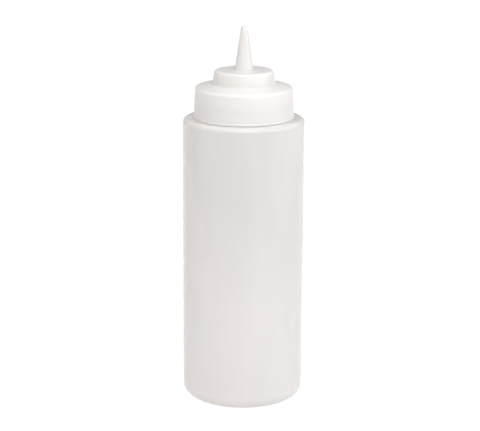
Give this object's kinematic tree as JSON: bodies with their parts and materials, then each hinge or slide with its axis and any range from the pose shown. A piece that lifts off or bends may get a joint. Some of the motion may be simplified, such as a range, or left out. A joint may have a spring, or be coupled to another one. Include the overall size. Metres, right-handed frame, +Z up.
{
  "type": "squeeze bottle",
  "caption": "Cylindrical squeeze bottle for sauce, with a wide threaded neck and a screw lid whose stepped top ends in an open cone tip.",
  "frame": {"origin": "centre of the base ring, on the plane that the bottle stands on", "axes": "+Z up along the axis of the body, neck, lid and tip; +X and +Y are equal, since the shape is round"},
  "size_m": [0.0826, 0.0826, 0.2577],
  "materials": {
    "bottle_plastic": "milky translucent natural polyethylene, satin",
    "seal_foam": "soft white foamed sheet, matt",
    "lid_plastic": "white to natural polyethylene, satin gloss"
  },
  "bodies": {
    "bottle": {"bottle": "bottle_plastic"},
    "seal_ring": {"seal_ring": "seal_foam"},
    "lid": {"lid": "lid_plastic"}
  },
  "joints": [
    {"name": "lid_rise", "type": "slide", "parent": "bottle", "child": "seal_ring", "axis": [0, 0, 1], "range_m": [0, 0.017]},
    {"name": "lid_turn", "type": "hinge", "parent": "seal_ring", "child": "lid", "pos_m": [0, 0, 0.2134], "axis": [0, 0, 1], "range_deg": [0, 1440]}
  ],
  "couplings": [
    {"joint": "lid_rise", "follows": "lid_turn", "m_per_rad": 0.0006737}
  ]
}
